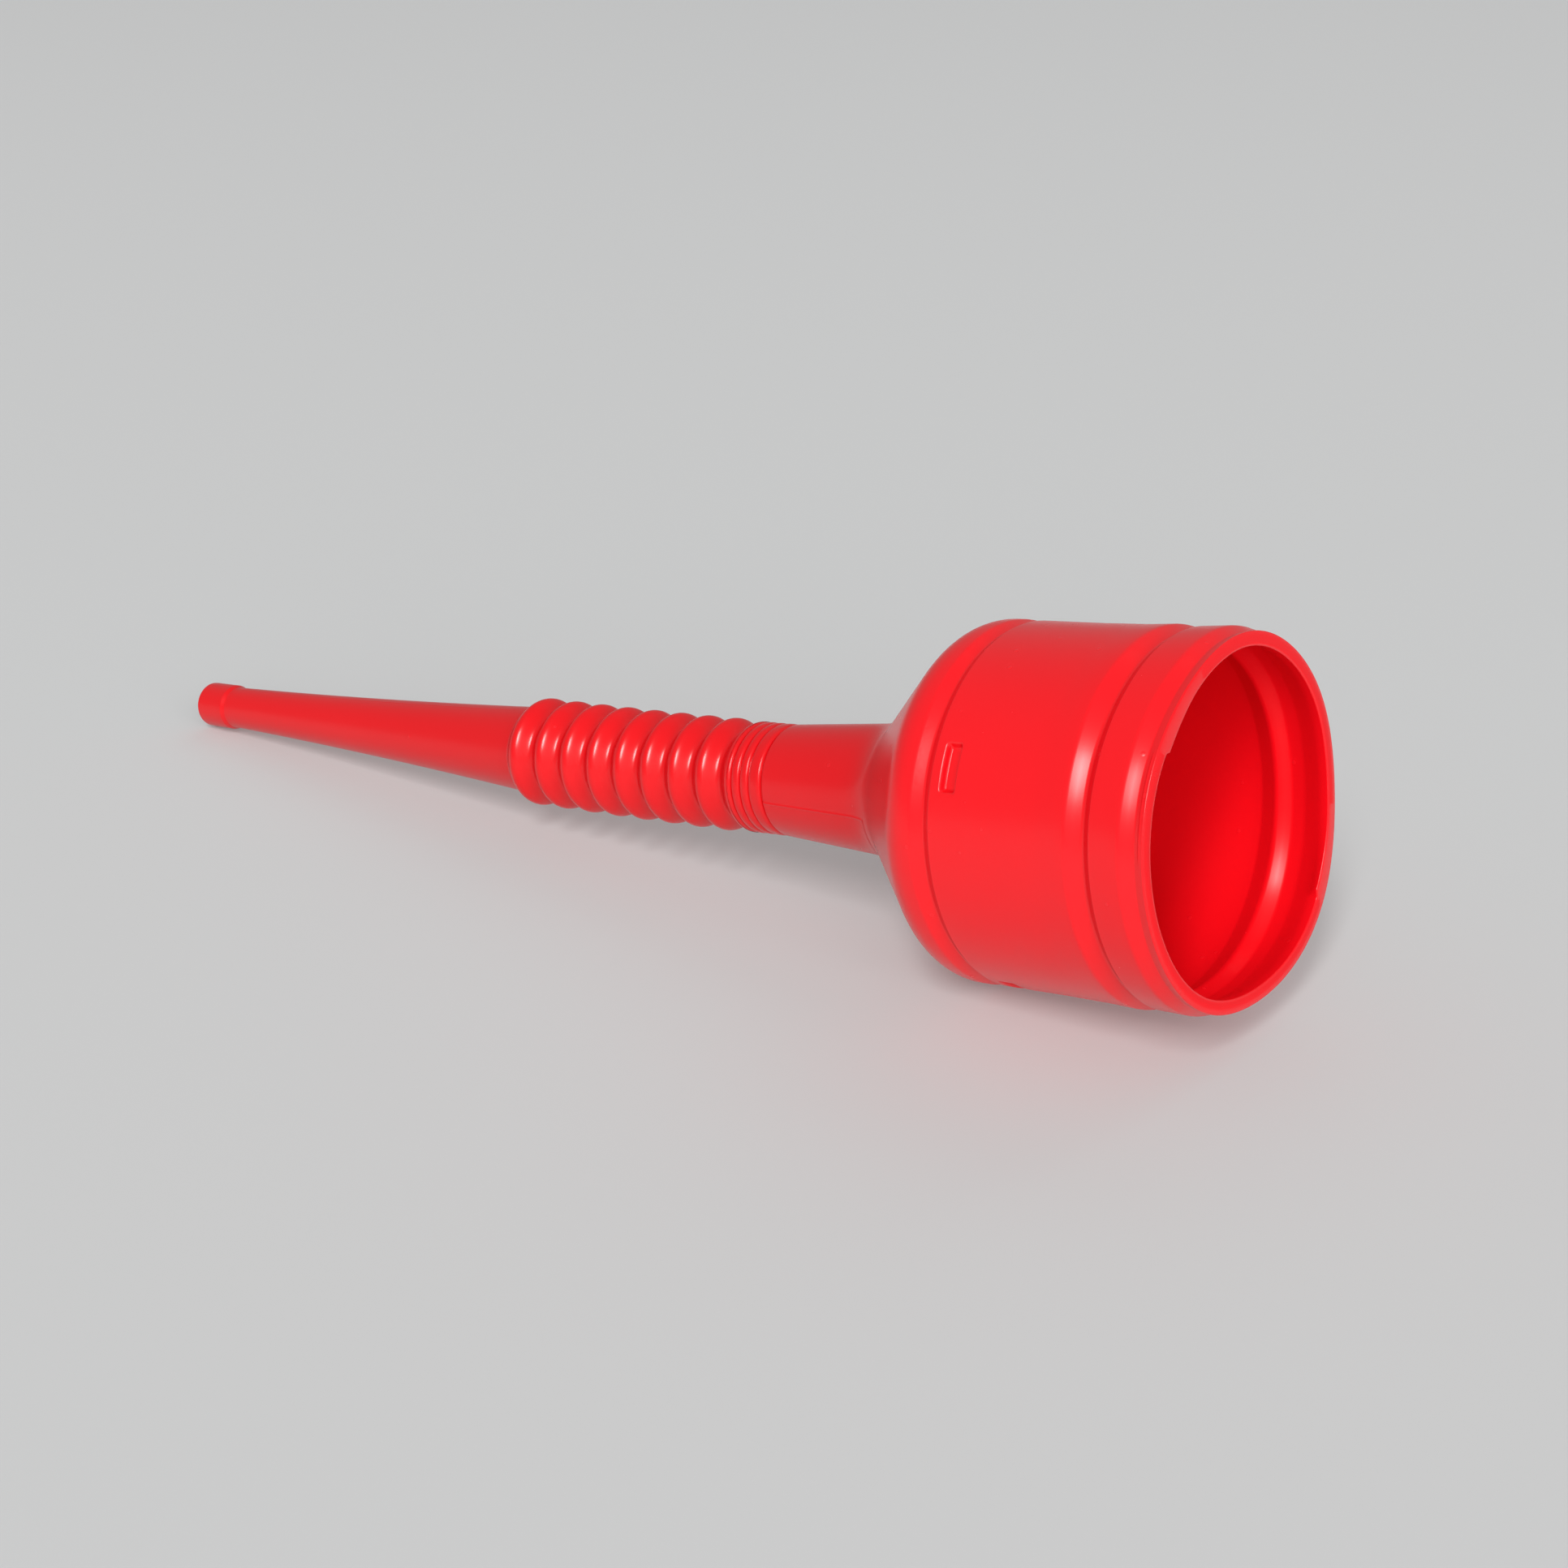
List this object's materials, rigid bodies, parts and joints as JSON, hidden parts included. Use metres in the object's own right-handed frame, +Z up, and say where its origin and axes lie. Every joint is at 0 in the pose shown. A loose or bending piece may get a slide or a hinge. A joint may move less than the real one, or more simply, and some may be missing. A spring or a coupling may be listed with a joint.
{
  "type": "flexible spout funnel",
  "caption": "Fuel funnel with a deep round bowl, a ribbed collar, a corrugated bending spout section and a long tapered nozzle.",
  "frame": {"origin": "on the bench under the middle of the funnel's box, with the funnel lying on its shoulder and its nozzle tip", "axes": "+Z up; +X along the bench towards the funnel's mouth, which is pitched 8.4 degrees up; the nozzle points to -X; +Y to the side"},
  "size_m": [0.491, 0.1222, 0.1312],
  "materials": {
    "bowl_polyethylene": "glossy blow-moulded polyethylene",
    "spout_polyethylene": "glossy blow-moulded polyethylene",
    "nozzle_polyethylene": "glossy blow-moulded polyethylene"
  },
  "bodies": {
    "bowl": {"bowl": "bowl_polyethylene", "neck": "bowl_polyethylene", "collar": "spout_polyethylene", "fold_1": "spout_polyethylene"},
    "ring_1": {"convolution_1": "spout_polyethylene", "fold_2": "spout_polyethylene"},
    "ring_2": {"convolution_2": "spout_polyethylene", "fold_3": "spout_polyethylene"},
    "ring_3": {"convolution_3": "spout_polyethylene", "fold_4": "spout_polyethylene"},
    "ring_4": {"convolution_4": "spout_polyethylene", "fold_5": "spout_polyethylene"},
    "ring_5": {"convolution_5": "spout_polyethylene", "fold_6": "spout_polyethylene"},
    "ring_6": {"convolution_6": "spout_polyethylene", "fold_7": "spout_polyethylene"},
    "ring_7": {"convolution_7": "spout_polyethylene", "fold_8": "spout_polyethylene"},
    "ring_8": {"convolution_8": "spout_polyethylene", "fold_9": "spout_polyethylene"},
    "nozzle": {"nozzle": "nozzle_polyethylene", "nozzle_tip": "nozzle_polyethylene"}
  },
  "joints": [
    {"name": "bend_1", "type": "hinge", "parent": "bowl", "child": "ring_1", "pos_m": [0.03954, 0, 0.04272], "axis": [0, 0, 1], "range_deg": [-10, 10], "stiffness_Nm_per_rad": 6, "deforming": ["fold_1"]},
    {"name": "bend_2", "type": "hinge", "parent": "ring_1", "child": "ring_2", "pos_m": [0.02681, 0, 0.04088], "axis": [0, 0, 1], "range_deg": [-10, 10], "stiffness_Nm_per_rad": 6, "deforming": ["fold_2"]},
    {"name": "bend_3", "type": "hinge", "parent": "ring_2", "child": "ring_3", "pos_m": [0.01408, 0, 0.03909], "axis": [0, 0, 1], "range_deg": [-10, 10], "stiffness_Nm_per_rad": 6, "deforming": ["fold_3"]},
    {"name": "bend_4", "type": "hinge", "parent": "ring_3", "child": "ring_4", "pos_m": [0.00133, 0, 0.03735], "axis": [0, 0, 1], "range_deg": [-10, 10], "stiffness_Nm_per_rad": 6, "deforming": ["fold_4"]},
    {"name": "bend_5", "type": "hinge", "parent": "ring_4", "child": "ring_5", "pos_m": [-0.01141, 0, 0.03566], "axis": [0, 0, 1], "range_deg": [-10, 10], "stiffness_Nm_per_rad": 6, "deforming": ["fold_5"]},
    {"name": "bend_6", "type": "hinge", "parent": "ring_5", "child": "ring_6", "pos_m": [-0.02417, 0, 0.03401], "axis": [0, 0, 1], "range_deg": [-10, 10], "stiffness_Nm_per_rad": 6, "deforming": ["fold_6"]},
    {"name": "bend_7", "type": "hinge", "parent": "ring_6", "child": "ring_7", "pos_m": [-0.03693, 0, 0.03242], "axis": [0, 0, 1], "range_deg": [-10, 10], "stiffness_Nm_per_rad": 6, "deforming": ["fold_7"]},
    {"name": "bend_8", "type": "hinge", "parent": "ring_7", "child": "ring_8", "pos_m": [-0.0497, 0, 0.03087], "axis": [0, 0, 1], "range_deg": [-10, 10], "stiffness_Nm_per_rad": 6, "deforming": ["fold_8"]},
    {"name": "bend_9", "type": "hinge", "parent": "ring_8", "child": "nozzle", "pos_m": [-0.06247, 0, 0.02937], "axis": [0, 0, 1], "range_deg": [-10, 10], "stiffness_Nm_per_rad": 6, "deforming": ["fold_9"]}
  ],
  "couplings": [
    {"joint": "bend_2", "follows": "bend_1", "ratio": 1},
    {"joint": "bend_3", "follows": "bend_1", "ratio": 1},
    {"joint": "bend_4", "follows": "bend_1", "ratio": 1},
    {"joint": "bend_5", "follows": "bend_1", "ratio": 1},
    {"joint": "bend_6", "follows": "bend_1", "ratio": 1},
    {"joint": "bend_7", "follows": "bend_1", "ratio": 1},
    {"joint": "bend_8", "follows": "bend_1", "ratio": 1},
    {"joint": "bend_9", "follows": "bend_1", "ratio": 1}
  ]
}
